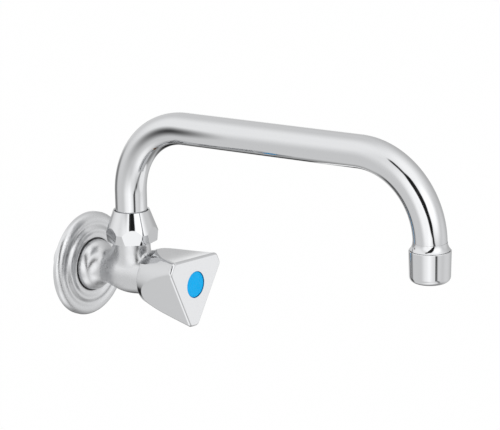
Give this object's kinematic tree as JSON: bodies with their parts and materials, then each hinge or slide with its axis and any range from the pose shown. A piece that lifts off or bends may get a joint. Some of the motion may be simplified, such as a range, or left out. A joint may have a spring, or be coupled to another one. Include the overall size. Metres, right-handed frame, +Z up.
{
  "type": "wall-mounted swivel spout tap",
  "caption": "Wall-mounted cold water tap in chrome: round rosette, cast valve body, triangular handle with a blue disc, union nut and a swivelling bent-tube spout with an aerator.",
  "frame": {"origin": "on the inlet's axis in the wall's plane", "axes": "+Y into the wall along the inlet's axis, -Y out into the room, +Z up, +X to the right as seen from the front"},
  "size_m": [0.06, 0.2631, 0.13],
  "materials": {
    "chrome_casting": "satin",
    "chrome_sheet": "gloss",
    "chrome_turned": "polished",
    "chrome_tube": "gloss",
    "chrome_handle": "satin",
    "blue_plastic": "gloss",
    "black_rubber": "matte",
    "bare_brass": "satin",
    "fibre": "matte",
    "steel": "satin",
    "white_plastic": "matte"
  },
  "bodies": {
    "tap_body": {"valve_body": "chrome_casting", "rosette": "chrome_sheet", "rosette_seal": "black_rubber", "bonnet": "bare_brass", "bonnet_gasket": "fibre", "union_nut": "chrome_turned", "lower_slide_ring": "white_plastic", "upper_slide_ring": "white_plastic"},
    "spindle_group": {"spindle": "bare_brass", "spindle_o_rings": "black_rubber", "spindle_circlip": "steel", "thrust_washer": "white_plastic", "handle": "chrome_handle", "handle_screw": "steel", "index_cap": "blue_plastic"},
    "piston_group": {"valve_piston": "bare_brass", "piston_o_ring": "black_rubber", "valve_washer": "black_rubber", "washer_screw": "bare_brass"},
    "spout": {"spout_tube": "chrome_tube", "spout_collar": "bare_brass", "spout_o_rings": "black_rubber", "spout_end_sleeve": "chrome_turned", "aerator_housing": "chrome_turned", "aerator_gasket": "black_rubber", "aerator_shell": "white_plastic", "aerator_strainer": "white_plastic", "aerator_jet_plate": "white_plastic", "aerator_screens": "steel"}
  },
  "joints": [
    {"name": "handle_turn", "type": "hinge", "parent": "tap_body", "child": "spindle_group", "pos_m": [0, -0.064, 0], "axis": [0, -1, 0], "range_deg": [0, 900]},
    {"name": "valve_lift", "type": "slide", "parent": "tap_body", "child": "piston_group", "axis": [0, -1, 0], "range_m": [0, 0.005]},
    {"name": "spout_swing", "type": "hinge", "parent": "tap_body", "child": "spout", "pos_m": [0, -0.034, 0.0285], "axis": [0, 0, 1], "range_deg": [-95, 95]}
  ],
  "couplings": [
    {"joint": "valve_lift", "follows": "handle_turn", "m_per_rad": 0.000318}
  ]
}
